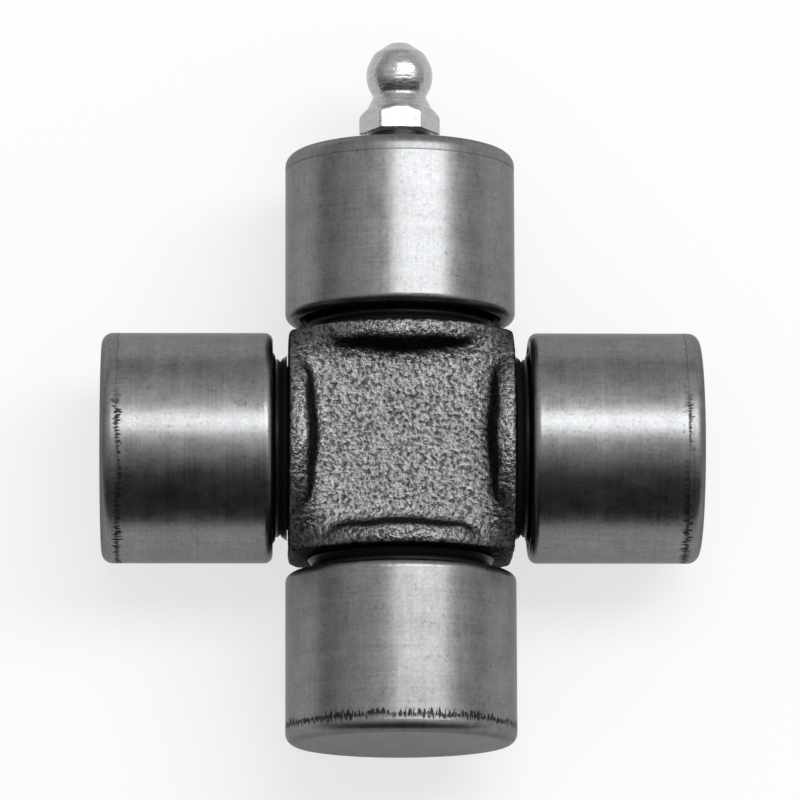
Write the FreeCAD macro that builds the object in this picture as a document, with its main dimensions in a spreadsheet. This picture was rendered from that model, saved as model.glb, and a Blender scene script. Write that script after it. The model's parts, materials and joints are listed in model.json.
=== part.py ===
import FreeCAD, Part
import os
import Sketcher
from FreeCAD import Placement, Rotation, Vector

# Universal joint cross. A forged steel cross carries four needle roller bearing cups
# on its ground trunnions, and one cup holds a grease nipple.
# Frame: the two trunnion axes are X and Y and meet at the origin, Z is up when the
# cross lies on its cups, and the cup with the nipple points along +Y.

# Driving dimensions in millimetres, with angles in degrees: name, value, meaning.
DIMENSIONS = [
    ("cup_dia", 22.0, "outside diameter of each cup"),
    ("cup_reach", 28.5, "centre of the cross to a cup's outer face"),
    ("mouth_offset", 1.2, "distance of a cup's mouth beyond its own radius"),
    ("cup_floor", 3.0, "thickness of a cup's closed end"),
    ("cup_end_round", 1.1, "edge radius at a cup's outer face"),
    ("cup_mouth_round", 0.8, "edge radius round a cup's mouth"),
    ("cup_wall", 2.0, "wall of a cup round its needles"),
    ("needle_count", 20, "needle rollers in one cup, without a cage"),
    ("needle_gap", 0.03, "gap between neighbouring needles"),
    ("needle_run", 0.03, "radial clearance of a needle to each raceway"),
    ("needle_play", 0.1, "end play of a needle at each end"),
    ("washer_thick", 1.2, "thickness of the thrust washer"),
    ("washer_run", 0.05, "running gap between thrust washer and trunnion"),
    ("washer_fit", 0.05, "radial fit of the thrust washer in its cup"),
    ("washer_hole_step", 0.2, "washer's grease hole beyond the reservoir, on radius"),
    ("slot_width", 1.4, "width of a grease slot in the thrust washer"),
    ("slot_depth", 0.4, "depth of a grease slot in the thrust washer"),
    ("slot_count", 4, "grease slots in the thrust washer"),
    ("seat_wall", 1.4, "wall of a cup round its seal seat"),
    ("seat_depth", 2.5, "depth of the seal seat"),
    ("seat_chamfer", 0.3, "lead-in chamfer of the seal seat"),
    ("case_wall", 0.5, "sheet thickness of the seal's steel case"),
    ("case_nose_gap", 0.3, "front edge of the case beyond the rubber, on radius"),
    ("case_nose_proud", 0.25, "case standing proud of the cup's mouth"),
    ("case_flange_gap", 0.66, "radial gap of the case's inner flange to the trunnion"),
    ("lip_thick", 0.9, "thickness of the rubber over the collar, outside the cup"),
    ("lip_flare", 0.35, "flare of the outermost lip, on radius"),
    ("lip_gap", 0.15, "gap of the outermost lip to the shoulder"),
    ("lip_web", 0.45, "radial thickness of the rubber between its lips"),
    ("lip_width", 0.5, "width of a rubber lip along the trunnion"),
    ("seal_run", 0.05, "radial gap of the inner lips to the collar"),
    ("collar_step", 1.06, "seal collar beyond the trunnion, on radius"),
    ("collar_short", 0.9, "collar's end before the end of the seal seat"),
    ("collar_slope", 0.5, "length of the cone from collar to trunnion"),
    ("collar_root_round", 0.45, "fillet where the collar meets the shoulder"),
    ("trunnion_chamfer", 0.8, "chamfer at a trunnion's end"),
    ("reservoir_gap", 0.6, "gap of the grease reservoir round the nipple's stem"),
    ("reservoir_depth", 7.0, "depth of the grease reservoir"),
    ("drilling_dia", 3.5, "grease channel through the centre"),
    ("drill_angle", 59.0, "half of the drill point's angle"),
    ("shoulder_gap", 1.5, "gap between a cup's mouth and the machined shoulder"),
    ("hub_below", 0.2, "how much lower the forging is than the cups"),
    ("corner_drop", 6.3, "drop of the forging from its axes to its corners"),
    ("pad_depth", 3.2, "depth of the sunk star-shaped pad"),
    ("pad_margin", 2.8, "shoulder to the foot of the collar's inner wall"),
    ("pad_end_margin", 0.2, "shoulder to the wall's end, where the bar is as low as the pad"),
    ("pad_draft", 17.0, "forging draft of the collars' inner walls"),
    ("pad_foot_round", 0.7, "fillet at the foot of the collars' inner walls"),
    ("crest_round", 0.6, "radius round the rim of the sunk pad"),
    ("corner_round", 0.5, "radius of the four upright corner edges"),
    ("thread_dia", 6.0, "nipple thread, drawn at its outer diameter"),
    ("thread_length", 5.5, "length of the nipple's threaded stem"),
    ("thread_fit", 0.02, "radial fit of the stem in the cup"),
    ("thread_chamfer", 0.6, "chamfer at the stem's end"),
    ("hex_across", 6.8, "width across flats of the nipple's hexagon"),
    ("hex_drop", 6.6, "nipple's tip to the top of its hexagon"),
    ("hex_chamfer", 0.8, "height of the hexagon's upper chamfer"),
    ("hex_foot", 0.4, "height of the hexagon's lower chamfer"),
    ("neck_dia", 5.1, "neck below the nipple's head"),
    ("neck_drop", 5.4, "nipple's tip to the foot of its neck"),
    ("head_dia", 6.4, "diameter of the nipple's ball head"),
    ("head_drop", 3.3, "nipple's tip to the middle of its head"),
    ("head_slope", 24.8, "slope of the cone above the ball head"),
    ("nose_drop", 1.0, "nipple's tip to the top of the head's cone"),
    ("tip_dia", 2.0, "flat round the nipple's inlet"),
    ("nipple_height", 11.2, "cup face to the nipple's tip"),
    ("inlet_dia", 1.5, "inlet hole in the nipple's tip"),
    ("inlet_depth", 0.5, "depth of the inlet hole"),
    ("ball_dia", 2.0, "check ball in the nipple"),
    ("ball_run", 0.06, "radial clearance of the ball in its bore"),
    ("bore_depth", 7.0, "depth of the ball's bore from the nipple's tip"),
    ("grease_bore_dia", 1.3, "channel from the ball's bore into the cup"),
    ("wire_dia", 0.3, "wire of the ball's spring"),
    ("spring_turns", 4, "turns of the ball's spring"),
    ("spring_dia", 1.9, "outside diameter of the ball's spring"),
    ("seat_gap", 0.02, "gap of the ball to its seat and to its spring"),
]

# The four arms, with the angle of each about Z.
ARMS = [("east", 0), ("north", 90), ("west", 180), ("south", 270)]
NIPPLE_ARM = "north"

# Margin in millimetres by which a cutting solid runs past what it cuts.
PAST = 1.0

X_AXIS = Vector(1, 0, 0)
Z_AXIS = Vector(0, 0, 1)

# Sizes that follow from the driving dimensions, as expressions over the sheet.
CUP_RADIUS = "(dims.cup_dia / 2)"
RACE_RADIUS = f"({CUP_RADIUS} - dims.cup_wall)"
# Needles side by side on a circle: its radius is the needles' spacing times this.
SPREAD = "(1 / (2 * sin(180 / dims.needle_count)))"
NEEDLE_DIA = (f"(({RACE_RADIUS} - dims.needle_run - dims.needle_gap * {SPREAD})"
              f" / ({SPREAD} + 0.5))")
PITCH_RADIUS = f"(({NEEDLE_DIA} + dims.needle_gap) * {SPREAD})"
TRUNNION_RADIUS = f"({RACE_RADIUS} - {NEEDLE_DIA} - 2 * dims.needle_run)"
MOUTH = f"({CUP_RADIUS} + dims.mouth_offset)"
SEAT_END = f"({MOUTH} + dims.seat_depth)"
FLOOR = "(dims.cup_reach - dims.cup_floor)"
WASHER_START = f"({FLOOR} - dims.washer_thick)"
TRUNNION_END = f"({WASHER_START} - dims.washer_run)"
NEEDLE_START = f"({SEAT_END} + dims.needle_play)"
NEEDLE_END = f"({WASHER_START} - dims.needle_play)"
SHOULDER = f"({MOUTH} - dims.shoulder_gap)"
COLLAR_END = f"({SEAT_END} - dims.collar_short)"
COLLAR_RADIUS = f"({TRUNNION_RADIUS} + dims.collar_step)"
SEAT_RADIUS = f"({CUP_RADIUS} - dims.seat_wall)"
LIP_RADIUS = f"({COLLAR_RADIUS} + dims.lip_thick)"
NOSE_RADIUS = f"({LIP_RADIUS} + dims.case_nose_gap)"
STEM_RADIUS = "(dims.thread_dia / 2)"
RESERVOIR_RADIUS = f"({STEM_RADIUS} + dims.reservoir_gap)"
HUB_HEIGHT = f"({CUP_RADIUS} - dims.hub_below)"
CORNER_HEIGHT = f"({HUB_HEIGHT} - dims.corner_drop)"
PAD_HEIGHT = f"({HUB_HEIGHT} - dims.pad_depth)"
LENS_RADIUS = f"(({SHOULDER} ^ 2 + dims.corner_drop ^ 2) / (2 * dims.corner_drop))"
# The bars' round tops are down at the pad's height at this distance from their middle.
PAD_HALF = f"sqrt((2 * {LENS_RADIUS} - dims.pad_depth) * dims.pad_depth)"
PAD_BOW = "(dims.pad_margin - dims.pad_end_margin)"
PAD_SIDE_RADIUS = f"(({PAD_HALF} ^ 2 + {PAD_BOW} ^ 2) / (2 * {PAD_BOW}))"
HEX_CORNER = "(dims.hex_across / sqrt(3))"
NIPPLE_TIP = "(dims.cup_reach + dims.nipple_height)"
HEX_TOP = f"({NIPPLE_TIP} - dims.hex_drop)"
BORE_TOP = f"({NIPPLE_TIP} - dims.inlet_depth)"
BORE_END = f"({NIPPLE_TIP} - dims.bore_depth)"
# The ball rests against the rim of the inlet hole.
BALL_SINK = "sqrt((dims.ball_dia / 2) ^ 2 - (dims.inlet_dia / 2) ^ 2)"
BALL_PLACE = f"({BORE_TOP} - {BALL_SINK} - dims.seat_gap)"
COIL_RADIUS = "((dims.spring_dia - dims.wire_dia) / 2)"
# The spring's last turn rests against the ball.
BALL_TO_COIL = ("sqrt(((dims.ball_dia + dims.wire_dia) / 2 + dims.seat_gap) ^ 2"
                f" - {COIL_RADIUS} ^ 2)")
COIL_START = f"({BORE_END} + dims.wire_dia / 2 + dims.seat_gap)"
COIL_END = f"({BALL_PLACE} - {BALL_TO_COIL})"


def make_sheet(doc):
    """The spreadsheet of driving dimensions, one row each."""
    sheet = doc.addObject("Spreadsheet::Sheet", "dims")
    for row, (name, size, meaning) in enumerate(DIMENSIONS, start=1):
        sheet.set(f"A{row}", name)
        sheet.set(f"B{row}", str(size))
        sheet.set(f"C{row}", meaning)
        sheet.setAlias(f"B{row}", name)
    doc.recompute()
    return sheet


def number(owner, text):
    """The value of an expression over the sheet."""
    return float(owner.evalExpression(text))


def bind(thing, **expressions):
    """Binds properties of an object to expressions over the sheet."""
    for name, text in expressions.items():
        thing.setExpression(name, text)


def origin_item(body, role):
    """A plane or axis of a body's own origin, such as XY_Plane."""
    return next(item for item in body.Origin.OriginFeatures if item.Role == role)


def new_body(doc, label, turned=0):
    """An empty body, turned about Z to the arm that it sits on."""
    body = doc.addObject("PartDesign::Body", label)
    body.Label = label
    body.Placement = Placement(Vector(), Rotation(Z_AXIS, turned))
    return body


def new_sketch(body, name, role="XY_Plane", lift=None):
    """A sketch on one of a body's origin planes, lifted off it by an expression."""
    sketch = body.newObject("Sketcher::SketchObject", name)
    sketch.AttachmentSupport = [(origin_item(body, role), "")]
    sketch.MapMode = "FlatFace"
    if lift:
        sketch.setExpression("AttachmentOffset.Base.z", lift)
    return sketch


def pin_point(sketch, edge, end, across, along):
    """Ties a point of a sketch to its axes by two expressions."""
    for kind, text, axis in (("DistanceX", across, -2), ("DistanceY", along, -1)):
        if text == "0":
            sketch.addConstraint(Sketcher.Constraint("PointOnObject", edge, end, axis))
            continue
        place = number(sketch, text)
        index = sketch.addConstraint(
            Sketcher.Constraint(kind, -1, 1, edge, end, place))
        sketch.setExpression(f"Constraints[{index}]", text)


def draw_outline(sketch, corners, arcs=None):
    """Draws a closed outline through corners given as expressions.

    arcs gives, for the edge that leaves a corner, its radius as an expression: above
    zero it bulges to the right of its run, and below zero to the left.
    """
    arcs = arcs or {}
    points = [Vector(number(sketch, x), number(sketch, y), 0) for x, y in corners]
    first = sketch.GeometryCount
    for index, start in enumerate(points):
        end = points[(index + 1) % len(points)]
        if index in arcs:
            sketch.addGeometry(arc_between(start, end, number(sketch, arcs[index])))
        else:
            sketch.addGeometry(Part.LineSegment(start, end))
    for index in range(len(points)):
        edge = first + index
        after = first + (index + 1) % len(points)
        bulges_right = index in arcs and number(sketch, arcs[index]) > 0
        turns_back = index in arcs and not bulges_right
        start_end, far_end = (2, 1) if turns_back else (1, 2)
        next_index = (index + 1) % len(points)
        next_back = next_index in arcs and number(sketch, arcs[next_index]) < 0
        sketch.addConstraint(Sketcher.Constraint(
            "Coincident", edge, far_end, after, 2 if next_back else 1))
        pin_point(sketch, edge, start_end, *corners[index])
    for index, text in arcs.items():
        radius = abs(number(sketch, text))
        made = sketch.addConstraint(
            Sketcher.Constraint("Radius", first + index, radius))
        sketch.setExpression(f"Constraints[{made}]", f"abs({text})")
    return sketch


def arc_between(start, end, radius):
    """The short arc between two points, drawn the way a sketch keeps it."""
    middle = (start + end) / 2
    half = (end - start) / 2
    side = Vector(half.y, -half.x, 0).normalize() * (1 if radius > 0 else -1)
    reach = (radius ** 2 - half.Length ** 2) ** 0.5
    centre = middle - side * reach
    top = centre + side * abs(radius)
    return Part.Arc(start, top, end)


def revolve(body, name, corners, kind="PartDesign::Revolution"):
    """Turns a profile of (along, radius) corners about the body's X axis."""
    sketch = draw_outline(new_sketch(body, f"{name}_profile"), corners)
    turned = body.newObject(kind, name)
    turned.Profile = sketch
    turned.ReferenceAxis = (origin_item(body, "X_Axis"), [""])
    turned.Angle = 360
    sketch.Visibility = False
    return turned


def repeat_about(body, name, feature, axis, occurrences):
    """Repeats a feature in a full circle about one of the body's axes."""
    pattern = body.newObject("PartDesign::PolarPattern", name)
    pattern.Originals = [feature]
    pattern.Axis = (origin_item(body, axis), [""])
    pattern.Angle = 360
    bind(pattern, Occurrences=occurrences)
    body.Tip = pattern
    return pattern


def edges_where(shape, test):
    """The names of a shape's edges that pass a test."""
    return [f"Edge{index}" for index, edge in enumerate(shape.Edges, start=1)
            if test(shape, edge)]


def round_edges(doc, body, name, radius, edges):
    """Rounds the named edges of a body's tip."""
    base = body.Tip
    fillet = body.newObject("PartDesign::Fillet", name)
    fillet.Base = (base, edges)
    bind(fillet, Radius=radius)
    body.Tip = fillet
    doc.recompute()
    return fillet


def hub_sketch(doc, name, plane):
    """A sketch of the hub's construction, on a plane given as a Placement."""
    sketch = doc.addObject("Sketcher::SketchObject", name)
    sketch.Placement = plane
    return sketch


def hub_bar(doc, name, spin):
    """One of the two crossing bars of the forging, lens-shaped in section."""
    upright = Placement(Vector(), Rotation(X_AXIS, 90))
    turned = Placement(Vector(), Rotation(Z_AXIS, spin))
    sketch = hub_sketch(doc, f"{name}_section", turned.multiply(upright))
    side = SHOULDER
    top = CORNER_HEIGHT
    corners = [(side, f"-{top}"), (side, top), (f"-{side}", top), (f"-{side}", f"-{top}")]
    draw_outline(sketch, corners, {1: LENS_RADIUS, 3: LENS_RADIUS})
    bar = doc.addObject("Part::Extrusion", name)
    bar.Base = sketch
    bar.DirMode = "Normal"
    bar.Solid = True
    bar.Symmetric = True
    bind(bar, LengthFwd=f"2 * {SHOULDER}")
    return bar


def star_outline(doc, name, level):
    """The outline of the sunk pad at one level, between the four collars."""
    rise = f"({level} - {PAD_HEIGHT})"
    shift = f"({rise} * tan(dims.pad_draft))"
    sketch = hub_sketch(doc, name, Placement())
    sketch.setExpression("Placement.Base.z", level)
    edge = f"({SHOULDER} + {PAST})"
    foot = f"({SHOULDER} - dims.pad_margin + {shift})"
    radius = f"({PAD_SIDE_RADIUS} - {shift})"
    half = f"sqrt({radius} ^ 2 - ({radius} + {foot} - {edge}) ^ 2)"
    corners = []
    arcs = {}
    ring = [(half, f"-{edge}"), (edge, f"-{edge}"), (edge, f"-{half}"), (edge, half),
            (edge, edge), (half, edge), (f"-{half}", edge), (f"-{edge}", edge),
            (f"-{edge}", half), (f"-{edge}", f"-{half}"), (f"-{edge}", f"-{edge}"),
            (f"-{half}", f"-{edge}")]
    for index, corner in enumerate(ring):
        corners.append(corner)
        if index % 3 == 2:
            arcs[index] = f"-{radius}"
    return draw_outline(sketch, corners, arcs)


def hub_recess(doc):
    """The cutter above the sunk pad: a drafted star, rounded along its foot."""
    star = doc.addObject("Part::Loft", "recess_walls")
    star.Sections = [star_outline(doc, "recess_low", PAD_HEIGHT),
                     star_outline(doc, "recess_high", f"({HUB_HEIGHT} + {PAST})")]
    star.Solid = True
    star.Ruled = True
    cutter = new_body(doc, "recess")
    cutter.BaseFeature = star
    doc.recompute()
    cutter.Tip = cutter.Group[0]
    round_edges(doc, cutter, "recess_foot", "dims.pad_foot_round",
                edges_where(cutter.Tip.Shape, is_star_foot))
    return cutter


def hub_blank(doc):
    """The forging's middle: two crossing bars, sunk on both faces."""
    bars = doc.addObject("Part::Fuse", "bars")
    bars.Base = hub_bar(doc, "bar_north_south", 0)
    bars.Tool = hub_bar(doc, "bar_east_west", 90)
    bars.Refine = True
    upper = hub_recess(doc)
    lower = doc.addObject("Part::Mirroring", "recess_below")
    lower.Source = upper
    lower.Base = Vector()
    lower.Normal = Z_AXIS
    recesses = doc.addObject("Part::MultiFuse", "recesses")
    recesses.Shapes = [upper, lower]
    blank = doc.addObject("Part::Cut", "hub_blank")
    blank.Base = bars
    blank.Tool = recesses
    blank.Refine = True
    doc.recompute()
    return blank


def make_cross(doc):
    """The forged cross with its four ground and drilled trunnions."""
    body = new_body(doc, "cross_body")
    body.BaseFeature = hub_blank(doc)
    doc.recompute()
    body.Tip = body.Group[0]
    for name, radius, test in (("corner_rounds", "dims.corner_round", is_upright_corner),
                               ("crest_rounds", "dims.crest_round", is_pad_rim)):
        round_edges(doc, body, name, radius, edges_where(body.Tip.Shape, test))
    trunnion = revolve(body, "trunnion", [
        (f"({SHOULDER} - {PAST})", "0"),
        (TRUNNION_END, "0"),
        (TRUNNION_END, f"({TRUNNION_RADIUS} - dims.trunnion_chamfer)"),
        (f"({TRUNNION_END} - dims.trunnion_chamfer)", TRUNNION_RADIUS),
        (f"({COLLAR_END} + dims.collar_slope)", TRUNNION_RADIUS),
        (COLLAR_END, COLLAR_RADIUS),
        (f"({SHOULDER} - {PAST})", COLLAR_RADIUS)])
    repeat_about(body, "trunnions", trunnion, "Z_Axis", str(len(ARMS)))
    channel = "(dims.drilling_dia / 2)"
    bottom = f"({TRUNNION_END} - dims.reservoir_depth)"
    point = f"({bottom} - ({RESERVOIR_RADIUS} - {channel}) / tan(dims.drill_angle))"
    drilling = revolve(body, "drilling", [
        ("0", "0"),
        (f"({TRUNNION_END} + {PAST})", "0"),
        (f"({TRUNNION_END} + {PAST})", RESERVOIR_RADIUS),
        (bottom, RESERVOIR_RADIUS),
        (point, channel),
        ("0", channel)], kind="PartDesign::Groove")
    repeat_about(body, "drillings", drilling, "Z_Axis", str(len(ARMS)))
    doc.recompute()
    shoulder = number(drilling, SHOULDER)
    collar = number(drilling, COLLAR_RADIUS)
    round_edges(doc, body, "collar_roots", "dims.collar_root_round",
                edges_where(body.Tip.Shape, lambda owner, edge: is_ring(
                    edge, collar, shoulder)))
    return body


def surface_kinds(owner, edge):
    """What the two faces beside an edge are: walls, floors, lenses or upright sides."""
    kinds = set()
    for face in owner.ancestorsOfType(edge, Part.Face):
        kind = type(face.Surface).__name__
        if kind == "Plane" and abs(face.Surface.Axis.z) < 0.5:
            kind = "Upright"
        kinds.add(kind)
    return kinds


def is_star_foot(owner, edge):
    """Whether an edge of the star-shaped cutter is where a wall meets its floor."""
    if surface_kinds(owner, edge) != {"BSplineSurface", "Plane"}:
        return False
    return edge.BoundBox.ZMax < owner.BoundBox.Center.z


def is_upright_corner(owner, edge):
    """Whether an edge is one of the hub's four upright corners."""
    if surface_kinds(owner, edge) != {"Upright"}:
        return False
    return abs(edge.tangentAt(edge.FirstParameter).z) > 0.99


def is_pad_rim(owner, edge):
    """Whether an edge is where the bars' round tops meet the sunk pad or its walls."""
    return surface_kinds(owner, edge) in ({"Cylinder", "BSplineSurface"},
                                          {"Cylinder", "Plane"})


def is_ring(edge, radius, reach):
    """Whether an edge is a circle of a radius that lies at a reach along an arm."""
    curve = edge.Curve
    if not isinstance(curve, Part.Circle) or abs(curve.Radius - radius) > 0.001:
        return False
    return abs(curve.Center.Length - reach) < 0.001 and abs(curve.Center.z) < 0.001


def make_cup(doc, arm, angle):
    """One bearing cup: closed end, needle raceway and bored seal seat."""
    body = new_body(doc, f"cup_{arm}", angle)
    axis = "0"
    if arm == NIPPLE_ARM:
        axis = f"({STEM_RADIUS} + dims.thread_fit)"
    revolve(body, f"cup_{arm}_turning", [
        (FLOOR, axis),
        ("dims.cup_reach", axis),
        ("dims.cup_reach", CUP_RADIUS),
        (MOUTH, CUP_RADIUS),
        (MOUTH, f"({SEAT_RADIUS} + dims.seat_chamfer)"),
        (f"({MOUTH} + dims.seat_chamfer)", SEAT_RADIUS),
        (SEAT_END, SEAT_RADIUS),
        (SEAT_END, RACE_RADIUS),
        (FLOOR, RACE_RADIUS)])
    doc.recompute()
    radius = number(body.Tip, CUP_RADIUS)
    for name, size, place in (("end_round", "dims.cup_end_round", "dims.cup_reach"),
                              ("mouth_round", "dims.cup_mouth_round", MOUTH)):
        reach = number(body.Tip, place)
        round_edges(doc, body, f"cup_{arm}_{name}", size, edges_where(
            body.Tip.Shape, lambda owner, edge: is_ring(edge, radius, reach)))
    return body


def make_seal_case(doc, arm, angle):
    """The seal's pressed steel case, with its conical front in the cup's mouth."""
    body = new_body(doc, f"seal_case_{arm}", angle)
    front = f"({MOUTH} - dims.case_nose_proud)"
    bend = f"({MOUTH} + dims.seat_chamfer)"
    flange = f"({TRUNNION_RADIUS} + dims.case_flange_gap)"
    wall = "dims.case_wall"
    revolve(body, f"seal_case_{arm}_turning", [
        (front, NOSE_RADIUS),
        (f"({front} + {wall})", NOSE_RADIUS),
        (f"({bend} + {wall} / 2)", f"({SEAT_RADIUS} - {wall})"),
        (f"({SEAT_END} - {wall})", f"({SEAT_RADIUS} - {wall})"),
        (f"({SEAT_END} - {wall})", flange),
        (SEAT_END, flange),
        (SEAT_END, SEAT_RADIUS),
        (bend, SEAT_RADIUS)])
    return body


def make_seal_lip(doc, arm, angle):
    """The rubber seal: two lips on the collar and a flared one at the shoulder."""
    body = new_body(doc, f"seal_lip_{arm}", angle)
    front = f"({MOUTH} - dims.case_nose_proud)"
    bend = f"({MOUTH} + dims.seat_chamfer)"
    back = f"({SEAT_END} - dims.case_wall)"
    inside_case = f"({SEAT_RADIUS} - dims.case_wall)"
    touch = f"({COLLAR_RADIUS} + dims.seal_run)"
    relief = f"({COLLAR_RADIUS} + dims.lip_web)"
    tip = f"({SHOULDER} + dims.lip_gap)"
    first = f"({tip} + dims.lip_width)"
    first_end = f"({tip} + 2 * dims.lip_width)"
    second = f"({tip} + 4 * dims.lip_width)"
    second_end = f"({tip} + 5 * dims.lip_width)"
    revolve(body, f"seal_lip_{arm}_turning", [
        (tip, f"({relief} + dims.lip_flare + dims.lip_gap)"),
        (first, relief),
        (first, touch),
        (first_end, touch),
        (first_end, relief),
        (second, relief),
        (second, touch),
        (second_end, touch),
        (second_end, relief),
        (back, relief),
        (back, inside_case),
        (f"({bend} + dims.case_wall / 2)", inside_case),
        (f"({front} + dims.case_wall)", NOSE_RADIUS),
        (front, NOSE_RADIUS),
        (front, LIP_RADIUS),
        (f"({front} - dims.lip_width / 2)", LIP_RADIUS),
        (f"({first} + dims.lip_width / 4)", f"({LIP_RADIUS} - dims.lip_width / 2)"),
        (first, LIP_RADIUS),
        (tip, f"({LIP_RADIUS} + dims.lip_flare)")])
    return body


def make_thrust_washer(doc, arm, angle):
    """The plastic thrust washer between a trunnion's end and its cup's floor."""
    body = new_body(doc, f"thrust_washer_{arm}", angle)
    hole = f"({RESERVOIR_RADIUS} + dims.washer_hole_step)"
    rim = f"({RACE_RADIUS} - dims.washer_fit)"
    revolve(body, f"washer_{arm}_disc", [
        (WASHER_START, hole), (FLOOR, hole), (FLOOR, rim), (WASHER_START, rim)])
    sketch = new_sketch(body, f"washer_{arm}_slot_outline", "YZ_Plane", WASHER_START)
    half = "(dims.slot_width / 2)"
    reach = f"({RACE_RADIUS} + {PAST})"
    draw_outline(sketch, [("0", f"-{half}"), (reach, f"-{half}"), (reach, half), ("0", half)])
    slot = body.newObject("PartDesign::Pocket", f"washer_{arm}_slot")
    slot.Profile = sketch
    slot.Reversed = True
    bind(slot, Length="dims.slot_depth")
    repeat_about(body, f"washer_{arm}_slots", slot, "X_Axis", "dims.slot_count")
    return body


def make_needle_set(doc, arm, angle):
    """The full complement of needle rollers round one trunnion."""
    body = new_body(doc, f"needle_set_{arm}", angle)
    sketch = new_sketch(body, f"needle_{arm}_section", "YZ_Plane", NEEDLE_START)
    radius = number(sketch, f"{NEEDLE_DIA} / 2")
    centre = Vector(0, number(sketch, PITCH_RADIUS), 0)
    sketch.addGeometry(Part.Circle(centre, Z_AXIS, radius))
    pin_point(sketch, 0, 3, "0", PITCH_RADIUS)
    made = sketch.addConstraint(Sketcher.Constraint("Radius", 0, radius))
    sketch.setExpression(f"Constraints[{made}]", f"{NEEDLE_DIA} / 2")
    needle = body.newObject("PartDesign::Pad", f"needle_{arm}")
    needle.Profile = sketch
    bind(needle, Length=f"{NEEDLE_END} - {NEEDLE_START}")
    repeat_about(body, f"needles_{arm}", needle, "X_Axis", "dims.needle_count")
    return body


def make_nipple_body(doc, angle):
    """The grease nipple: threaded stem, hexagon, neck, ball head and bores."""
    body = new_body(doc, "nipple_body", angle)
    seat = "dims.cup_reach"
    head = "(dims.head_dia / 2)"
    head_place = f"({NIPPLE_TIP} - dims.head_drop)"
    cone_start = f"({head_place} + {head} * sin(dims.head_slope))"
    cone_end = f"({NIPPLE_TIP} - dims.nose_drop)"
    cone_radius = f"({head} * cos(dims.head_slope))"
    nose = f"({cone_radius} - ({cone_end} - {cone_start}) * tan(dims.head_slope))"
    stem_end = f"({seat} - dims.thread_length)"
    revolve(body, "nipple_turning", [
        (stem_end, "0"),
        (NIPPLE_TIP, "0"),
        (NIPPLE_TIP, "(dims.tip_dia / 2)"),
        (cone_end, nose),
        (cone_start, cone_radius),
        (head_place, "(dims.neck_dia / 2)"),
        (f"({NIPPLE_TIP} - dims.neck_drop)", "(dims.neck_dia / 2)"),
        (HEX_TOP, f"({HEX_CORNER} - dims.hex_chamfer)"),
        (f"({HEX_TOP} - dims.hex_chamfer)", HEX_CORNER),
        (f"({seat} + dims.hex_foot)", HEX_CORNER),
        (seat, f"({HEX_CORNER} - dims.hex_foot)"),
        (seat, STEM_RADIUS),
        (f"({stem_end} + dims.thread_chamfer)", STEM_RADIUS),
        (stem_end, f"({STEM_RADIUS} - dims.thread_chamfer)")])
    add_sphere(body, "nipple_head", head, head_place)
    bore = "(dims.ball_dia / 2 + dims.ball_run)"
    inlet = "(dims.inlet_dia / 2)"
    channel = "(dims.grease_bore_dia / 2)"
    revolve(body, "nipple_bores", [
        (f"({stem_end} - {PAST})", "0"),
        (f"({NIPPLE_TIP} + {PAST})", "0"),
        (f"({NIPPLE_TIP} + {PAST})", inlet),
        (BORE_TOP, inlet),
        (BORE_TOP, bore),
        (BORE_END, bore),
        (BORE_END, channel),
        (f"({stem_end} - {PAST})", channel)], kind="PartDesign::Groove")
    cut_hexagon(body, seat)
    return body


def add_sphere(body, name, radius, place):
    """A sphere on the body's X axis."""
    sphere = body.newObject("PartDesign::AdditiveSphere", name)
    bind(sphere, Radius=radius)
    sphere.setExpression("Placement.Base.x", place)
    return sphere


def cut_hexagon(body, seat):
    """Mills the nipple's six flats, one of them facing up."""
    sketch = new_sketch(body, "hexagon", "YZ_Plane", seat)
    half = "(dims.hex_across / 2)"
    side = f"({HEX_CORNER} / 2)"
    draw_outline(sketch, [
        (HEX_CORNER, "0"), (side, half), (f"-{side}", half),
        (f"-{HEX_CORNER}", "0"), (f"-{side}", f"-{half}"), (side, f"-{half}")])
    blank = number(sketch, f"{HEX_CORNER} + {PAST}")
    sketch.addGeometry(Part.Circle(Vector(), Z_AXIS, blank))
    ring = sketch.GeometryCount - 1
    sketch.addConstraint(Sketcher.Constraint("Coincident", ring, 3, -1, 1))
    made = sketch.addConstraint(Sketcher.Constraint("Radius", ring, blank))
    sketch.setExpression(f"Constraints[{made}]", f"{HEX_CORNER} + {PAST}")
    flats = body.newObject("PartDesign::Pocket", "hexagon_flats")
    flats.Profile = sketch
    flats.Reversed = True
    bind(flats, Length=f"{HEX_TOP} - {seat}")
    return flats


def make_nipple_ball(doc, angle):
    """The check ball that closes the nipple's inlet."""
    body = new_body(doc, "nipple_ball", angle)
    add_sphere(body, "check_ball", "dims.ball_dia / 2", BALL_PLACE)
    return body


def make_nipple_spring(doc, angle):
    """The coil spring that presses the check ball against the inlet."""
    body = new_body(doc, "nipple_spring", angle)
    sketch = new_sketch(body, "wire_section")
    radius = number(sketch, "dims.wire_dia / 2")
    centre = Vector(number(sketch, COIL_START), number(sketch, COIL_RADIUS), 0)
    sketch.addGeometry(Part.Circle(centre, Z_AXIS, radius))
    pin_point(sketch, 0, 3, COIL_START, COIL_RADIUS)
    made = sketch.addConstraint(Sketcher.Constraint("Radius", 0, radius))
    sketch.setExpression(f"Constraints[{made}]", "dims.wire_dia / 2")
    coil = body.newObject("PartDesign::AdditiveHelix", "coil")
    coil.Profile = sketch
    coil.ReferenceAxis = (origin_item(body, "X_Axis"), [""])
    coil.Mode = "height-turns-angle"
    bind(coil, Height=f"{COIL_END} - {COIL_START}", Turns="dims.spring_turns")
    return body


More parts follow.
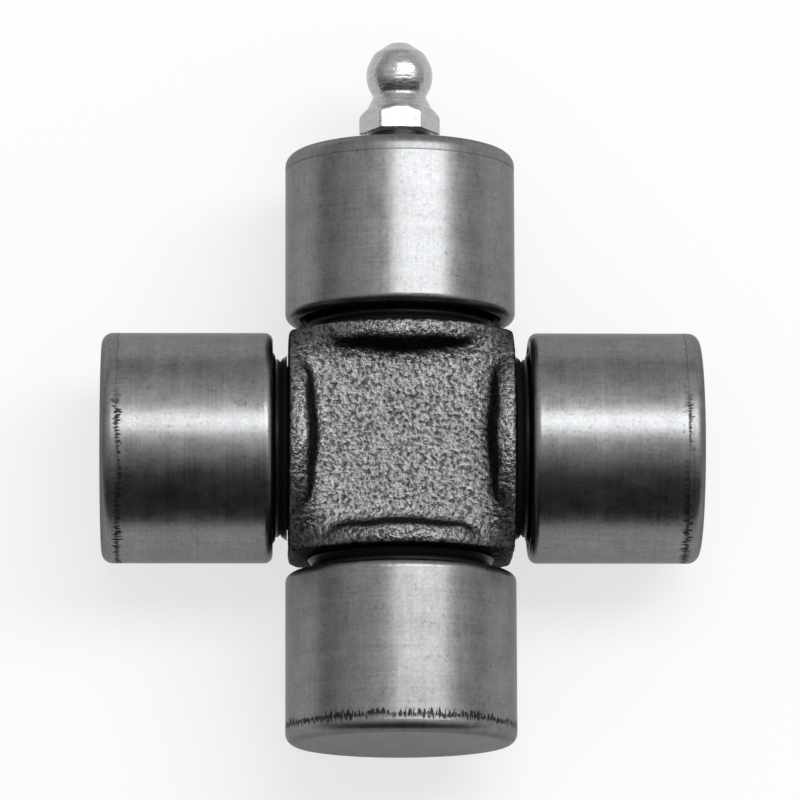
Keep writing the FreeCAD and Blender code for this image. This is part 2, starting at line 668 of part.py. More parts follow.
def check(doc, pieces):
    """Stops the build if anything failed to compute or is not a sound solid."""
    for thing in doc.Objects:
        if {"Invalid", "Error"} & set(thing.State):
            raise RuntimeError(f"{thing.Label} failed: {thing.State}")
    for piece in pieces:
        shape = piece.Shape
        if shape.isNull() or not shape.isValid() or not shape.Solids:
            raise RuntimeError(f"{piece.Label} is not a sound solid")


def main():
    doc = FreeCAD.newDocument("universal_joint_cross")
    make_sheet(doc)
    pieces = [make_cross(doc)]
    for arm, angle in ARMS:
        pieces.append(make_cup(doc, arm, angle))
        pieces.append(make_seal_case(doc, arm, angle))
        pieces.append(make_seal_lip(doc, arm, angle))
        pieces.append(make_thrust_washer(doc, arm, angle))
        pieces.append(make_needle_set(doc, arm, angle))
        if arm == NIPPLE_ARM:
            pieces.append(make_nipple_body(doc, angle))
            pieces.append(make_nipple_ball(doc, angle))
            pieces.append(make_nipple_spring(doc, angle))
    doc.recompute()
    check(doc, pieces)
    os.makedirs("parts", exist_ok=True)
    for piece in pieces:
        shape = piece.Shape
        print(piece.Label, len(shape.Solids), round(shape.Volume, 2))
        shape.exportStep(f"parts/{piece.Label}.step")


main()
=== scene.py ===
"""Universal joint cross: materials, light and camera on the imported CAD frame."""

import math

import bmesh
import bpy
import numpy as np
from mathutils import Matrix, Vector, noise
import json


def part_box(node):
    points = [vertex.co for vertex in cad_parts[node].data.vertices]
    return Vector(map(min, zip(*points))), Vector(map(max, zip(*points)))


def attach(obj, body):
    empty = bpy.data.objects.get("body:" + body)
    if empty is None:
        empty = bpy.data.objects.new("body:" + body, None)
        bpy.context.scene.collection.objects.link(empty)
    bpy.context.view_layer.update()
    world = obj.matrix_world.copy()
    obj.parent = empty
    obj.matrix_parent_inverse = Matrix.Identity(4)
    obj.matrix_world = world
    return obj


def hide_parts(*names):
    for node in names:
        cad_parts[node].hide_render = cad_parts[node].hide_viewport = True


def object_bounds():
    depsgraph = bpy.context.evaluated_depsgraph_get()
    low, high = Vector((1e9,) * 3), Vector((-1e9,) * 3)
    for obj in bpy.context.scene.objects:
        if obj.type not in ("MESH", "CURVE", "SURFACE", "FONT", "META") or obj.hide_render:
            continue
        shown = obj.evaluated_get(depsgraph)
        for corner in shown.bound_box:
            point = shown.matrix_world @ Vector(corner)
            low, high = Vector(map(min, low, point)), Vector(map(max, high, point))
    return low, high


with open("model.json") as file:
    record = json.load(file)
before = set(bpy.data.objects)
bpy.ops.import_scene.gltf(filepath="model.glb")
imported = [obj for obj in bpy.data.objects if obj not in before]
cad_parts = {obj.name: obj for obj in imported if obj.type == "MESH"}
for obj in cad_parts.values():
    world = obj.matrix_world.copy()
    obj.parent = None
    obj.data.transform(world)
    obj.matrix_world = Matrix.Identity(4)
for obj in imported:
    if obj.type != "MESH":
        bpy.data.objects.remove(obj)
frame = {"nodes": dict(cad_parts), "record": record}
cad_low, cad_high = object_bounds()

MM = 0.001

# Sizes of the part in millimetres. All but the shoulder are read from the frame.
cup_low, cup_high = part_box("cup_east")
REACH = cup_high.x / MM
MOUTH = cup_low.x / MM
CUP_RADIUS = cup_high.z / MM
SHOULDER = 10.7

# The materials' greys are linear values, and their reliefs are heights in millimetres.
# An edge below 1 takes light from what a metal mirrors at a grazing angle. A shade
# multiplies the grey where its mark is.
CUP_GREY = 0.2
CUP_ROUGHNESS = 0.3
CUP_EDGE = 0.62
CUP_RELIEF = 0.004
END_FACE_SHADE = 0.7
# Painted shade darkens the inside of a cup at its open end to this share.
MOUTH_PAINTED_SHADE = 0.15
RING_SHADE = 0.15
SPECK_SHADE = 0.75
SKIN_GREY = 0.155
SKIN_ROUGHNESS = 0.34
SKIN_EDGE = 0.5
SKIN_RELIEF = 0.22
# The forging's skin gets painted shade in its pits and a painted highlight on its tops.
PIT_PAINTED_SHADE = 0.35
TOP_PAINTED_LIGHT = 1.35
# Painted shade on the forging's walls and corners leaves this share of the grey.
WALL_PAINTED_SHADE = 0.2
TURNED_GREY = 0.21
TURNED_ROUGHNESS = 0.3
STEEL_WARMTH = -0.02
ZINC_GREY = 0.42
ZINC_ROUGHNESS = 0.21
ZINC_RELIEF = 0.045
# The nipple's neck under its hexagon gets painted shade of this share.
NECK_PAINTED_SHADE = 0.06
RUBBER_GREY = 0.012
RUBBER_ROUGHNESS = 0.35
RUBBER_SHINE = 0.1
CASE_GREY = 0.05
CASE_ROUGHNESS = 0.3
CASE_EDGE = 0.2
WASHER_GREY = 0.6
WASHER_ROUGHNESS = 0.5
WASHER_WARMTH = 0.08
NEEDLE_GREY = 0.5
NEEDLE_ROUGHNESS = 0.15

# The arms along Y take their patterns from this far off, so they differ from those along X.
PATTERN_SHIFT = 200.0

# The ground outside of a cup starts this far from its closed end, in millimetres. The
# torn ring there waves by this much, with tips away from the end and roots towards it of
# these lengths. The shares are the strengths of its worn line and of the north cup's line.
GROUND_START = 1.6
RING_WAVE = 0.5
TIP_LENGTH = 0.55
ROOT_LENGTH = 0.45
WORN_SHARE = 0.35
FINE_SHARE = 0.5

# The forging's middle is remeshed with this voxel, cut off at the ends of its stubs,
# softened up to the shoulders, and given its grain. Lengths are in millimetres, and a
# corner starts this far from both axes.
VOXEL = 0.19
WELD = 0.001
SMOOTH_ANGLE = math.radians(30)
STUB_END = SHOULDER + 0.25
STUB_START = SHOULDER + 0.05
STUB_SHRINK = 0.97
SHOULDER_FADE = 0.05
CORNER_START = 6.2
CORNER_FADE = 1.5
SOFTEN_SHARE = 0.5
SHAPE_ROUNDS = 10
HEIGHT_ROUNDS = 50
CORNER_ROUNDS = 80
GRAIN_HEIGHT = 0.1
LARGE_GRAIN = 1.3
SMALL_GRAIN = 2.4
SMALL_GRAIN_SHIFT = Vector((7, 3, 5))

# Painted shade darkens the skin where it tilts as walls do, and in part on the pad's corners.
WALL_TILT = (0.1, 0.6)
CORNER_PAINTED_SHADE = 0.45
CORNER_PAINTED_SHADE_WIDTH = 2.6

# A hump's end is pulled in by this much. Each range is where the pull fades in or out.
HUMP_PULL = 0.7
PULL_STARTS_ACROSS = (2.5, 6.5)
PULL_ENDS_ACROSS = (7.0, 9.5)
PULL_STARTS_ALONG = (6.0, 8.0)
PULL_ENDS_ALONG = (9.4, 10.6)
PULL_STARTS_HIGH = (4.0, 6.0)
PULL_STARTS_OFF_DIAGONAL = (0.3, 1.8)

# The nipple is remeshed too. Its hexagon starts a little above the cup, on a round neck.
NIPPLE_VOXEL = 0.12
NIPPLE_BORE = (1.5, 1.8)
NIPPLE_ROUNDS = 4
NOSE = (38.0, 39.0)
NOSE_ROUNDS = 28
NOSE_DROP = 0.15
HEAD_MIDDLE = 36.4
HEAD_END = REACH + 11.0
HEX_START = 30.6
HEX_NECK_START = REACH + 0.05
HEX_NECK_RADIUS = 3.1

# Camera, fitted to the ends and edges of the four cups in the photograph.
CAMERA_AZIMUTH = -7.97
CAMERA_ELEVATION = 80.17
CAMERA_DISTANCE = 600 * MM
CAMERA_ROLL = 0.17
SENSOR_WIDTH = 36.0
PICTURE_SIZE = 800
FOCAL_PIXELS = 6284.4
CENTRE_PIXEL = (400.49, 448.38)

# Studio, in metres and degrees. The tent's ranges are shares of its radius, from the
# middle to the front and up, and its glows are strengths.
FLOOR_RADIUS = 1.4
FLOOR_GREY = 0.33
FLOOR_GLOW = 0.68
TENT_RADIUS = 1.2
TENT_FRONT = (-0.1, 0.62)
TENT_HEIGHT = (0.1, 0.85)
TENT_LOW_GLOW = 0.5
TENT_HIGH_GLOW = 1.1
TENT_FRONT_SHADE = 0.05
TENT_RIGHT_GAIN = 0.25
KEY_DISTANCE = 0.7
KEY_TILT_X = 19.0
KEY_TILT_Y = 19.0
KEY_WIDTH = 0.70
KEY_DEPTH = 0.24
KEY_POWER = 2.8
AMBIENT = 0.5


class Graph:
    """The nodes of a material or a world, written as plain calls."""

    def __init__(self, tree):
        self.tree = tree

    def put(self, socket, value):
        if isinstance(value, bpy.types.NodeSocket):
            self.tree.links.new(value, socket)
        else:
            socket.default_value = value

    def node(self, kind, **settings):
        made = self.tree.nodes.new(kind)
        for name, value in settings.items():
            setattr(made, name, value)
        return made

    def math(self, operation, *values):
        made = self.node("ShaderNodeMath", operation=operation)
        for socket, value in zip(made.inputs, values):
            self.put(socket, value)
        return made.outputs[0]

    def add(self, *values):
        total = values[0]
        for value in values[1:]:
            total = self.math("ADD", total, value)
        return total

    def times(self, *values):
        product = values[0]
        for value in values[1:]:
            product = self.math("MULTIPLY", product, value)
        return product

    def swing(self, value, amount):
        """value between 0 and 1 becomes a swing of plus or minus half of amount."""
        return self.times(self.math("SUBTRACT", value, 0.5), amount)

    def step(self, value, start, end):
        """0 before start, 1 after end, and smooth between them."""
        made = self.node("ShaderNodeMapRange", interpolation_type="SMOOTHSTEP")
        self.put(made.inputs["Value"], value)
        self.put(made.inputs["From Min"], start)
        self.put(made.inputs["From Max"], end)
        return made.outputs[0]

    def fall(self, value, start, end):
        """1 before start, 0 after end, and smooth between them."""
        return self.math("SUBTRACT", 1.0, self.step(value, start, end))

    def pick(self, factor, low, high):
        """low where factor is 0, high where it is 1."""
        made = self.node("ShaderNodeMix", data_type="FLOAT")
        self.put(made.inputs[0], factor)
        self.put(made.inputs[2], low)
        self.put(made.inputs[3], high)
        return made.outputs[0]

    def shade(self, value, mask, share):
        """value where mask is 0, and that share of it where mask is 1."""
        return self.times(value, self.pick(mask, 1.0, share))

    def vector(self, x, y, z):
        made = self.node("ShaderNodeCombineXYZ")
        for socket, value in zip(made.inputs, (x, y, z)):
            self.put(socket, value)
        return made.outputs[0]

    def noise(self, vector, scale, detail=2.0, roughness=0.5):
        made = self.node("ShaderNodeTexNoise")
        self.put(made.inputs["Vector"], vector)
        self.put(made.inputs["Scale"], scale)
        self.put(made.inputs["Detail"], detail)
        self.put(made.inputs["Roughness"], roughness)
        return made.outputs[0]

    def attribute(self, name):
        """The values that the mesh carries at its points under that name."""
        return self.node("ShaderNodeAttribute", attribute_name=name).outputs["Fac"]

    def place(self):
        """x, y and z of the point in the part's frame, in millimetres."""
        coordinates = self.node("ShaderNodeTexCoord")
        scaled = self.node("ShaderNodeVectorMath", operation="SCALE")
        self.put(scaled.inputs[0], coordinates.outputs["Object"])
        self.put(scaled.inputs["Scale"], 1 / MM)
        parts = self.node("ShaderNodeSeparateXYZ")
        self.put(parts.inputs[0], scaled.outputs[0])
        return parts.outputs[0], parts.outputs[1], parts.outputs[2]

    def grey(self, value, warmth=0.0):
        """A grey of that linear value, a little warm or cool."""
        made = self.node("ShaderNodeCombineColor")
        self.put(made.inputs[0], self.times(value, 1.0 + warmth))
        self.put(made.inputs[1], value)
        self.put(made.inputs[2], self.times(value, 1.0 - warmth))
        return made.outputs[0]


def material(name, metallic, colour=0.5, specular=0.5, edge=1.0):
    """A plain principled material, and the graph that its detail is added to."""
    made = bpy.data.materials.new(name)
    made.use_nodes = True
    shader = made.node_tree.nodes["Principled BSDF"]
    shader.inputs["Metallic"].default_value = metallic
    shader.inputs["Specular IOR Level"].default_value = specular
    shader.inputs["Specular Tint"].default_value = (edge, edge, edge, 1.0)
    shader.inputs["Base Color"].default_value = (colour, colour, colour, 1.0)
    return made, shader, Graph(made.node_tree)


def arm_place(graph, x, y):
    """Distance along the arm with its sign, distance across it, and reach."""
    reach_x = graph.math("ABSOLUTE", x)
    reach_y = graph.math("ABSOLUTE", y)
    on_x = graph.math("GREATER_THAN", reach_x, reach_y)
    along = graph.pick(on_x, graph.add(y, PATTERN_SHIFT), x)
    across = graph.pick(on_x, x, y)
    return along, across, graph.math("MAXIMUM", reach_x, reach_y)


def bump(graph, shader, height, distance):
    """Fine relief that only the light shows."""
    made = graph.node("ShaderNodeBump")
    graph.put(made.inputs["Distance"], distance)
    graph.put(made.inputs["Height"], height)
    graph.put(shader.inputs["Normal"], made.outputs[0])


def ring_marks(graph, y, along, arc, inset):
    """The ring where grinding starts: a fine line on the north cup, torn on the others."""

    def around(per_mm, layer, detail=2.0, roughness=0.5):
        spot = graph.vector(graph.times(arc, per_mm), along, layer)
        return graph.noise(spot, 1.0, detail, roughness)

    tips = around(4.5, layer=0.0, roughness=0.6)
    roots = around(3.6, layer=9.0, roughness=0.6)
    wave = around(0.5, layer=4.0)
    gaps = around(0.12, layer=8.0, detail=1.0)
    from_ring = graph.add(inset, -GROUND_START, graph.swing(wave, RING_WAVE))
    past_tip = graph.add(from_ring, graph.times(graph.step(tips, 0.38, 0.7), -TIP_LENGTH))
    past_root = graph.add(from_ring, graph.times(graph.step(roots, 0.4, 0.7), ROOT_LENGTH))
    torn = graph.times(graph.fall(past_tip, -0.05, 0.2), graph.step(past_root, -0.2, 0.0))
    torn = graph.times(torn, graph.step(tips, 0.34, 0.5), graph.step(gaps, 0.3, 0.45))
    # The east and west cups have no teeth on their north sides.
    torn = graph.times(torn, graph.fall(y, 2.0, 5.0))
    worn =graph.fall(graph.math("ABSOLUTE", from_ring), 0.03, 0.15)
    torn = graph.math("MAXIMUM", torn, graph.times(worn, WORN_SHARE))
    from_line = graph.math("ABSOLUTE", graph.add(inset, -GROUND_START))
    fine = graph.times(graph.fall(from_line, 0.02, 0.1), FINE_SHARE)
    north = graph.math("GREATER_THAN", y, MOUTH - 1.0)
    return graph.pick(north, torn, fine)


def ground_steel():
    """Ground cups: fine lines around, faint bands, stains, and the ring near the end."""
    made, shader, graph = material("ground_steel", metallic=1.0, edge=CUP_EDGE)
    x, y, z = graph.place()
    along, across, reach = arm_place(graph, x, y)
    spot = graph.vector(along, across, z)
    arc = graph.times(graph.math("ARCTAN2", z, across), CUP_RADIUS)
    inset = graph.math("SUBTRACT", REACH, reach)

    def lines_around(per_mm, detail):
        wide = graph.times(across, 0.06)
        high = graph.times(z, 0.06)
        return graph.noise(graph.vector(graph.times(along, per_mm), wide, high), 1.0, detail)

    fine = lines_around(6.0, detail=3.0)
    bands = lines_around(0.7, detail=2.0)
    spots = graph.noise(spot, 0.45, detail=5.0, roughness=0.62)
    grain = graph.noise(spot, 3.2, detail=3.0, roughness=0.6)
    specks = graph.noise(spot, 2.3, roughness=0.6)
    streaks = graph.vector(graph.times(along, 0.2), graph.times(arc, 2.5), 1.0)
    drawn = graph.noise(streaks, 1.0)

    ring = ring_marks(graph, y, along, arc, inset)
    unground = graph.fall(inset, GROUND_START - 0.05, GROUND_START + 0.05)
    end_face = graph.fall(inset, 0.15, 0.6)
    radius = graph.math("SQRT", graph.add(graph.times(across, across), graph.times(z, z)))
    # Painted shade: the cup's colour is darkened within the rim, near the open end.
    in_mouth = graph.fall(radius, CUP_RADIUS - 1.1, CUP_RADIUS - 0.6)
    mouth_painted_shade = graph.times(in_mouth, graph.step(inset, 12.0, 14.0))

    value = graph.add(CUP_GREY, graph.swing(fine, 0.07), graph.swing(bands, 0.06))
    value = graph.add(value, graph.swing(spots, 0.13), graph.swing(grain, 0.12))
    value = graph.add(value, graph.swing(drawn, 0.06))
    value = graph.shade(value, graph.step(specks, 0.6, 0.7), SPECK_SHADE)
    value = graph.shade(value, end_face, END_FACE_SHADE)
    value = graph.shade(value, mouth_painted_shade, MOUTH_PAINTED_SHADE)
    value = graph.shade(value, ring, RING_SHADE)
    graph.put(shader.inputs["Base Color"], graph.grey(value, STEEL_WARMTH))

    rough = graph.add(CUP_ROUGHNESS, graph.swing(fine, 0.12), graph.swing(spots, 0.22))
    rough = graph.add(rough, graph.times(unground, 0.06), graph.times(ring, 0.2))
    graph.put(shader.inputs["Roughness"], rough)
    height = graph.add(graph.times(fine, 0.5), graph.times(grain, 0.3))
    bump(graph, shader, height, CUP_RELIEF * MM)
    return made


def forged_steel():
    """The forging: a grainy black skin, and bright machined shoulders and trunnions."""
    made, shader, graph = material("forged_steel", metallic=1.0, edge=SKIN_EDGE)
    x, y, z = graph.place()
    along, across, reach = arm_place(graph, x, y)
    spot = graph.vector(along, across, z)
    machined = graph.step(reach, SHOULDER + 0.06, SHOULDER + 0.1)
    grain = graph.attribute("grain")
    # The values stored as scale are painted shade on the walls and on the pad's corners.
    scale = graph.attribute("scale")
    fine = graph.noise(spot, 2.6, detail=2.5, roughness=0.55)
    coarse = graph.noise(spot, 0.45)
    lines = graph.noise(graph.vector(graph.times(along, 6.0), 0.0, 0.0), 1.0)

    skin = graph.add(SKIN_GREY, graph.swing(coarse, 0.04), graph.swing(grain, 0.06))
    # Painted shade and highlight: the skin is darker where the bump is low and lighter where it
    # is high.
    painted_pits_and_tops = graph.pick(graph.step(fine, 0.34, 0.58), PIT_PAINTED_SHADE, TOP_PAINTED_LIGHT)
    skin = graph.shade(graph.times(skin, painted_pits_and_tops), scale, WALL_PAINTED_SHADE)
    turned = graph.add(TURNED_GREY, graph.swing(lines, 0.06))
    value = graph.pick(machined, skin, turned)
    graph.put(shader.inputs["Base Color"], graph.grey(value, STEEL_WARMTH))

    rough = graph.add(SKIN_ROUGHNESS, graph.swing(fine, -0.2), graph.times(scale, 0.15))
    graph.put(shader.inputs["Roughness"], graph.pick(machined, rough, TURNED_ROUGHNESS))
    height = graph.times(fine, graph.math("SUBTRACT", 1.0, machined))
    bump(graph, shader, height, SKIN_RELIEF * MM)
    return made


def zinc_plate():
    """Bright zinc on the nipple, a little cloudy; painted shade on the neck under the hexagon.
    """
    made, shader, graph = material("zinc_plate", metallic=1.0)
    x, y, z = graph.place()
    cloud = graph.noise(graph.vector(x, y, z), 1.2, detail=4.0, roughness=0.6)
    rings = graph.vector(graph.times(x, 0.5), graph.times(y, 5.0), graph.times(z, 0.5))
    turned = graph.noise(rings, 1.0, detail=3.0, roughness=0.6)
    value = graph.add(ZINC_GREY, graph.swing(cloud, 0.2), graph.swing(turned, 0.2))
    # Painted shade: the neck in the hexagon's shadow is nearly black.
    above_neck = graph.step(y, HEX_START - 0.15, HEX_START - 0.05)
    value = graph.times(value, graph.pick(above_neck, NECK_PAINTED_SHADE, 1.0))
    graph.put(shader.inputs["Base Color"], graph.grey(value))
    graph.put(shader.inputs["Roughness"], graph.add(ZINC_ROUGHNESS, graph.swing(cloud, 0.18)))
    bump(graph, shader, graph.add(turned, graph.times(cloud, 1.8)), ZINC_RELIEF * MM)
    return made


def seal_rubber():
    """Black rubber with a film of grease."""
    made, shader, graph = material(
        "seal_rubber", metallic=0.0, colour=RUBBER_GREY, specular=RUBBER_SHINE)
    smear = graph.noise(graph.vector(*graph.place()), 0.9, detail=3.0, roughness=0.6)
    graph.put(shader.inputs["Roughness"], graph.add(RUBBER_ROUGHNESS, graph.swing(smear, 0.3)))
    return made


def seal_steel():
    """The pressed case in the cup's mouth, with a film of oil."""
    made, shader, graph = material("seal_steel", metallic=1.0, edge=CASE_EDGE)
    smear = graph.noise(graph.vector(*graph.place()), 0.7, detail=3.0, roughness=0.6)
    value = graph.add(CASE_GREY, graph.swing(smear, 0.04))
    graph.put(shader.inputs["Base Color"], graph.grey(value))
    graph.put(shader.inputs["Roughness"], CASE_ROUGHNESS)
    return made


def washer_plastic():
    """Pale moulded plastic."""
    made, shader, graph = material("washer_plastic", metallic=0.0)
    cloud = graph.noise(graph.vector(*graph.place()), 0.8)
    value = graph.add(WASHER_GREY, graph.swing(cloud, 0.08))
    graph.put(shader.inputs["Base Color"], graph.grey(value, WASHER_WARMTH))
    graph.put(shader.inputs["Roughness"], WASHER_ROUGHNESS)
    return made


def needle_steel():
    """Polished bearing steel, a little cloudy."""
    made, shader, graph = material("needle_steel", metallic=1.0)
    cloud = graph.noise(graph.vector(*graph.place()), 2.5)
    value = graph.add(NEEDLE_GREY, graph.swing(cloud, 0.1))
    graph.put(shader.inputs["Base Color"], graph.grey(value))
    graph.put(shader.inputs["Roughness"], graph.add(NEEDLE_ROUGHNESS, graph.swing(cloud, 0.1)))
    return made


def dress_nodes():
    """Every CAD node gets the material of its record slot."""
    finishes = {
        "ground_steel": ground_steel(),
        "forged_steel": forged_steel(),
        "zinc_plate": zinc_plate(),
        "seal_rubber": seal_rubber(),
        "seal_steel": seal_steel(),
        "washer_plastic": washer_plastic(),
        "needle_steel": needle_steel(),
    }
    for part in frame["record"]["subparts"]:
        node = frame["nodes"][part["node"]]
        node.data.materials.clear()
        node.data.materials.append(finishes[part["material_slot"]])
    return finishes


def reach_of(points):
    """How far each point lies out along its arm."""
    return np.abs(points[:, :2]).max(axis=1)


def across_of(points):
    """How far each point lies to the side of its arm's axis, seen from above."""
    return np.abs(points[:, :2]).min(axis=1)


def soften(points, edges, share, rounds):
    """In each round every point moves by its share to the middle of its neighbours."""
    here = np.concatenate((edges[:, 0], edges[:, 1]))
    there = np.concatenate((edges[:, 1], edges[:, 0]))
    neighbours = np.bincount(here, minlength=len(points))[:, None]
    for _ in range(rounds):
        sums = [np.bincount(here, points[there, axis], len(points)) for axis in range(3)]
        points = points + (np.stack(sums, axis=1) / neighbours - points) * share[:, None]
    return points


def ramp(values, start, end):
    """0 before start, 1 after end, and smooth between them."""
    share = np.clip((values - start) / (end - start), 0.0, 1.0)
    return share * share * (3.0 - 2.0 * share)


def read_vectors(source, name):
    """A row of three numbers for each item of a mesh's collection."""
    values = np.empty(len(source) * 3)
    source.foreach_get(name, values)
    return values.reshape(-1, 3)


def read_shape(mesh):
    """The points, in millimetres, and the pairs of points that the edges join."""
    edges = np.empty(len(mesh.edges) * 2, dtype=np.int32)
    mesh.edges.foreach_get("vertices", edges)
    return read_vectors(mesh.vertices, "co") / MM, edges.reshape(-1, 2)


def place_points(mesh, points):
    """The mesh's points move to these places, given in millimetres."""
    mesh.vertices.foreach_set("co", (points * MM).ravel())
    mesh.update()


def store_values(mesh, name, values):
    """One value for each point, which the forging's material finds by name."""
    mesh.attributes.new(name, "FLOAT", "POINT").data.foreach_set("value", values)


def pull_hump_ends(points):
    """The humps' ends come in from the arms, which makes their walls straighter."""
    rows = np.arange(len(points))
    own_axis = np.abs(points[:, :2]).argmax(axis=1)
    reach = reach_of(points)
    across = across_of(points)
    pull = HUMP_PULL * ramp(across, *PULL_STARTS_ACROSS)
    pull *= 1.0 - ramp(across, *PULL_ENDS_ACROSS)
    pull *= ramp(reach, *PULL_STARTS_ALONG) * (1.0 - ramp(reach, *PULL_ENDS_ALONG))
    pull *= ramp(np.abs(points[:, 2]), *PULL_STARTS_HIGH)
    pull *= ramp(reach - across, *PULL_STARTS_OFF_DIAGONAL)
    points[rows, own_axis] -= np.sign(points[rows, own_axis]) * pull


def remeshed(node, voxel):
    """A copy of the node's mesh in even small squares."""
    block = bpy.data.objects.new("block", node.data.copy())
    bpy.context.scene.collection.objects.link(block)
    remesh = block.modifiers.new("voxels", "REMESH")
    remesh.mode = "VOXEL"
    remesh.voxel_size = voxel * MM
    depsgraph = bpy.context.evaluated_depsgraph_get()
    mesh = bpy.data.meshes.new_from_object(block.evaluated_get(depsgraph))
    bpy.data.objects.remove(block)
    return mesh


def forged_middle(node):
    """The forging's middle with its creases softened and its skin grained."""
    mesh = remeshed(node, VOXEL)
    shape = bmesh.new()
    shape.from_mesh(mesh)
    beyond = [v for v in shape.verts if max(abs(v.co.x), abs(v.co.y)) > STUB_END * MM]
    bmesh.ops.delete(shape, geom=beyond, context="VERTS")
    shape.to_mesh(mesh)
    shape.free()

    points, edges = read_shape(mesh)
    reach = reach_of(points)
    across = across_of(points)
    middle = np.clip((STUB_START - reach) / SHOULDER_FADE, 0.0, 1.0)
    corner = np.clip((across - CORNER_START) / CORNER_FADE, 0.0, 1.0)
    share = SOFTEN_SHARE * middle
    points = soften(points, edges, share, SHAPE_ROUNDS)
    points[:, 2] = soften(points, edges, share, HEIGHT_ROUNDS)[:, 2]
    points[:, 2] = soften(points, edges, share * corner, CORNER_ROUNDS)[:, 2]
    pull_hump_ends(points)

    # What is left of the collars shrinks into the turned ones.
    points[reach > STUB_START, 2] *= STUB_SHRINK
    place_points(mesh, points)

    normals = read_vectors(mesh.vertex_normals, "vector")
    seeds = [Vector(point) for point in points]
    large = np.array([noise.noise(seed * LARGE_GRAIN) for seed in seeds])
    small = np.array([noise.noise(seed * SMALL_GRAIN + SMALL_GRAIN_SHIFT) for seed in seeds])
    grain = np.clip(0.5 + 0.5 * large + 0.5 * small, 0.0, 1.0)
    place_points(mesh, points + normals * ((grain - 0.5) * GRAIN_HEIGHT * middle)[:, None])
    store_values(mesh, "grain", grain)
    # Painted shade, stored as scale: full on walls that tilt, in part on the pad's corners.
    flat_unshaded = 1.0 - ramp(1.0 - np.abs(normals[:, 2]), *WALL_TILT)
    in_corner = ramp(across, CORNER_START, CORNER_START + CORNER_PAINTED_SHADE_WIDTH)
    store_values(mesh, "scale", 1.0 - flat_unshaded * (1.0 - CORNER_PAINTED_SHADE * in_corner))
    return mesh


def turned_arms(node):
    """The collars and trunnions as they are in the CAD model."""
    shape = bmesh.new()
    shape.from_mesh(node.data)
    bmesh.ops.remove_doubles(shape, verts=shape.verts, dist=WELD * MM)
    middle = []
    for face in shape.faces:
        centre = face.calc_center_median()
        if max(abs(centre.x), abs(centre.y)) < (SHOULDER + WELD) * MM:
            middle.append(face)
    bmesh.ops.delete(shape, geom=middle, context="FACES")
    for edge in shape.edges:
        edge.smooth = edge.calc_face_angle(0.0) < SMOOTH_ANGLE
    return shape


def make_forging(finish):
    """One piece in place of cross_body: its arms as turned, its middle as forged."""
    node = frame["nodes"]["cross_body"]
    shape = turned_arms(node)
    shape.from_mesh(forged_middle(node))
    for face in shape.faces:
        face.smooth = True
    mesh = bpy.data.meshes.new("cross_forging")
    shape.to_mesh(mesh)
    shape.free()
    stand_in("cross_forging", mesh, finish, "cross_body", "cross")


def make_nipple(finish):
    """One piece in place of nipple_body, with rounded edges and its hexagon on a neck."""
    mesh = remeshed(frame["nodes"]["nipple_body"], NIPPLE_VOXEL)
    points, edges = read_shape(mesh)
    outside = ramp(np.hypot(points[:, 0], points[:, 2]), *NIPPLE_BORE)
    points = soften(points, edges, SOFTEN_SHARE * outside, NIPPLE_ROUNDS)
    nose = ramp(points[:, 1], *NOSE)
    points = soften(points, edges, SOFTEN_SHARE * nose * outside, NOSE_ROUNDS)
    points[:, 1] -= NOSE_DROP * ramp(points[:, 1], HEAD_MIDDLE, HEAD_END)
    radius = np.hypot(points[:, 0], points[:, 2])
    neck = (points[:, 1] > HEX_NECK_START) & (points[:, 1] < HEX_START)
    neck &= radius > HEX_NECK_RADIUS
    points[neck, 0] *= HEX_NECK_RADIUS / radius[neck]
    points[neck, 2] *= HEX_NECK_RADIUS / radius[neck]
    place_points(mesh, points)
    mesh.shade_smooth()
    stand_in("nipple_fitting", mesh, finish, "nipple_body", "bearing_north")


def stand_in(name, mesh, finish, node, body):
    """An object of that mesh and finish, shown in place of the node."""
    mesh.materials.clear()
    mesh.materials.append(finish)
    piece = bpy.data.objects.new(name, mesh)
    bpy.context.scene.collection.objects.link(piece)
    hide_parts(node)
    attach(piece, body)


def seen_or_mirrored(graph):
    """1 for rays from the camera, mirror-like reflections and glass, 0 for the others."""
    path = graph.node("ShaderNodeLightPath")
    seen = graph.math("MAXIMUM", path.outputs["Is Camera Ray"], path.outputs["Is Glossy Ray"])
    return graph.math("MAXIMUM", seen, path.outputs["Is Transmission Ray"])


def make_floor():
    """A plain white floor that keeps the object's shadow."""
    bpy.ops.mesh.primitive_circle_add(
        vertices=64, radius=FLOOR_RADIUS, fill_type="NGON", location=(0, 0, cad_low.z))
    floor = bpy.context.object
    floor.name = "floor"
    made, shader, graph = material("floor_paper", metallic=0.0, colour=FLOOR_GREY, specular=0.0)
    graph.put(shader.inputs["Roughness"], 1.0)
    graph.put(shader.inputs["Emission Color"], (1, 1, 1, 1))
    glow = graph.times(seen_or_mirrored(graph), FLOOR_GLOW)
    graph.put(shader.inputs["Emission Strength"], glow)
    floor.data.materials.append(made)


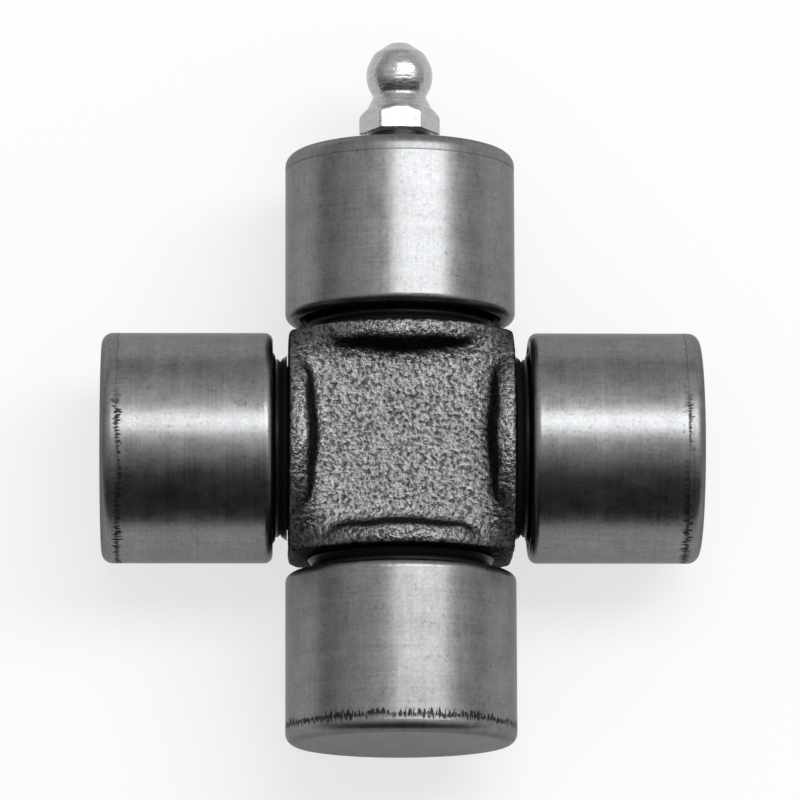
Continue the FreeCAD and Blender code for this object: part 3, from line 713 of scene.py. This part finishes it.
def make_tent():
    """Grey walls round the table, which only mirror-like reflections show.

    The front wall is nearly black and the others darken towards the horizon, which gives
    the ground cups the dark bands that they have in the photograph.
    """
    bpy.ops.mesh.primitive_uv_sphere_add(segments=64, ring_count=32, radius=TENT_RADIUS)
    tent = bpy.context.object
    tent.name = "tent"
    made = bpy.data.materials.new("tent_walls")
    made.use_nodes = True
    graph = Graph(made.node_tree)
    made.node_tree.nodes.remove(made.node_tree.nodes["Principled BSDF"])
    x, y, z = graph.place()
    radius = TENT_RADIUS / MM
    front = graph.step(graph.times(y, -1 / radius), *TENT_FRONT)
    high = graph.step(graph.times(z, 1 / radius), *TENT_HEIGHT)
    right = graph.add(1.0, graph.times(x, TENT_RIGHT_GAIN / radius))
    wall = graph.shade(graph.pick(high, TENT_LOW_GLOW, TENT_HIGH_GLOW), front, TENT_FRONT_SHADE)
    emission = graph.node("ShaderNodeEmission")
    graph.put(emission.inputs["Strength"], graph.times(wall, right))
    graph.put(made.node_tree.nodes["Material Output"].inputs["Surface"], emission.outputs[0])
    tent.data.materials.append(made)
    tent.visible_camera = False
    tent.visible_diffuse = False
    tent.visible_transmission = False
    tent.visible_shadow = False


def make_key():
    """One large soft lamp above, to the right and a little behind."""
    lamp = bpy.data.lights.new("key", "AREA")
    lamp.shape = "RECTANGLE"
    lamp.size = KEY_WIDTH
    lamp.size_y = KEY_DEPTH
    lamp.energy = KEY_POWER
    key = bpy.data.objects.new("key", lamp)
    bpy.context.scene.collection.objects.link(key)
    tilt_x = math.tan(math.radians(KEY_TILT_X))
    tilt_y = math.tan(math.radians(KEY_TILT_Y))
    back = Vector((tilt_x, tilt_y, 1.0)).normalized()
    right = Vector((0, 1, 0)).cross(back).normalized()
    facing = Matrix((right, back.cross(right), back)).transposed()
    key.matrix_world = Matrix.Translation(back * KEY_DISTANCE) @ facing.to_4x4()


def make_world():
    """Even white surroundings, dimmer where they only light the object."""
    world = bpy.data.worlds.new("studio")
    bpy.context.scene.world = world
    world.use_nodes = True
    graph = Graph(world.node_tree)
    background = world.node_tree.nodes["Background"]
    graph.put(background.inputs["Color"], (1, 1, 1, 1))
    graph.put(background.inputs["Strength"], graph.pick(seen_or_mirrored(graph), AMBIENT, 1.0))


def make_camera():
    """The camera looks at the centre, turned so that it lands on its pixel."""
    data = bpy.data.cameras.new("camera")
    data.sensor_width = SENSOR_WIDTH
    data.lens = FOCAL_PIXELS / PICTURE_SIZE * SENSOR_WIDTH
    camera = bpy.data.objects.new("camera", data)
    bpy.context.scene.collection.objects.link(camera)
    azimuth = math.radians(CAMERA_AZIMUTH)
    elevation = math.radians(CAMERA_ELEVATION)
    back = Vector((
        math.sin(azimuth) * math.cos(elevation),
        -math.cos(azimuth) * math.cos(elevation),
        math.sin(elevation)))
    right = (-back).cross(Vector((0, 1, 0))).normalized()
    up = back.cross(right)
    level = Matrix((right, up, back)).transposed()
    half = PICTURE_SIZE / 2
    sight = Vector((CENTRE_PIXEL[0] - half, half - CENTRE_PIXEL[1], -FOCAL_PIXELS))
    turn = Vector((0, 0, -1)).rotation_difference(sight).inverted().to_matrix()
    roll = Matrix.Rotation(-math.radians(CAMERA_ROLL), 3, "Z")
    facing = level @ roll @ turn
    camera.matrix_world = Matrix.Translation(back * CAMERA_DISTANCE) @ facing.to_4x4()
    bpy.context.scene.camera = camera


bpy.context.scene.view_settings.view_transform = "Standard"
finishes = dress_nodes()
make_forging(finishes["forged_steel"])
make_nipple(finishes["zinc_plate"])
make_floor()
make_tent()
make_key()
make_world()
make_camera()
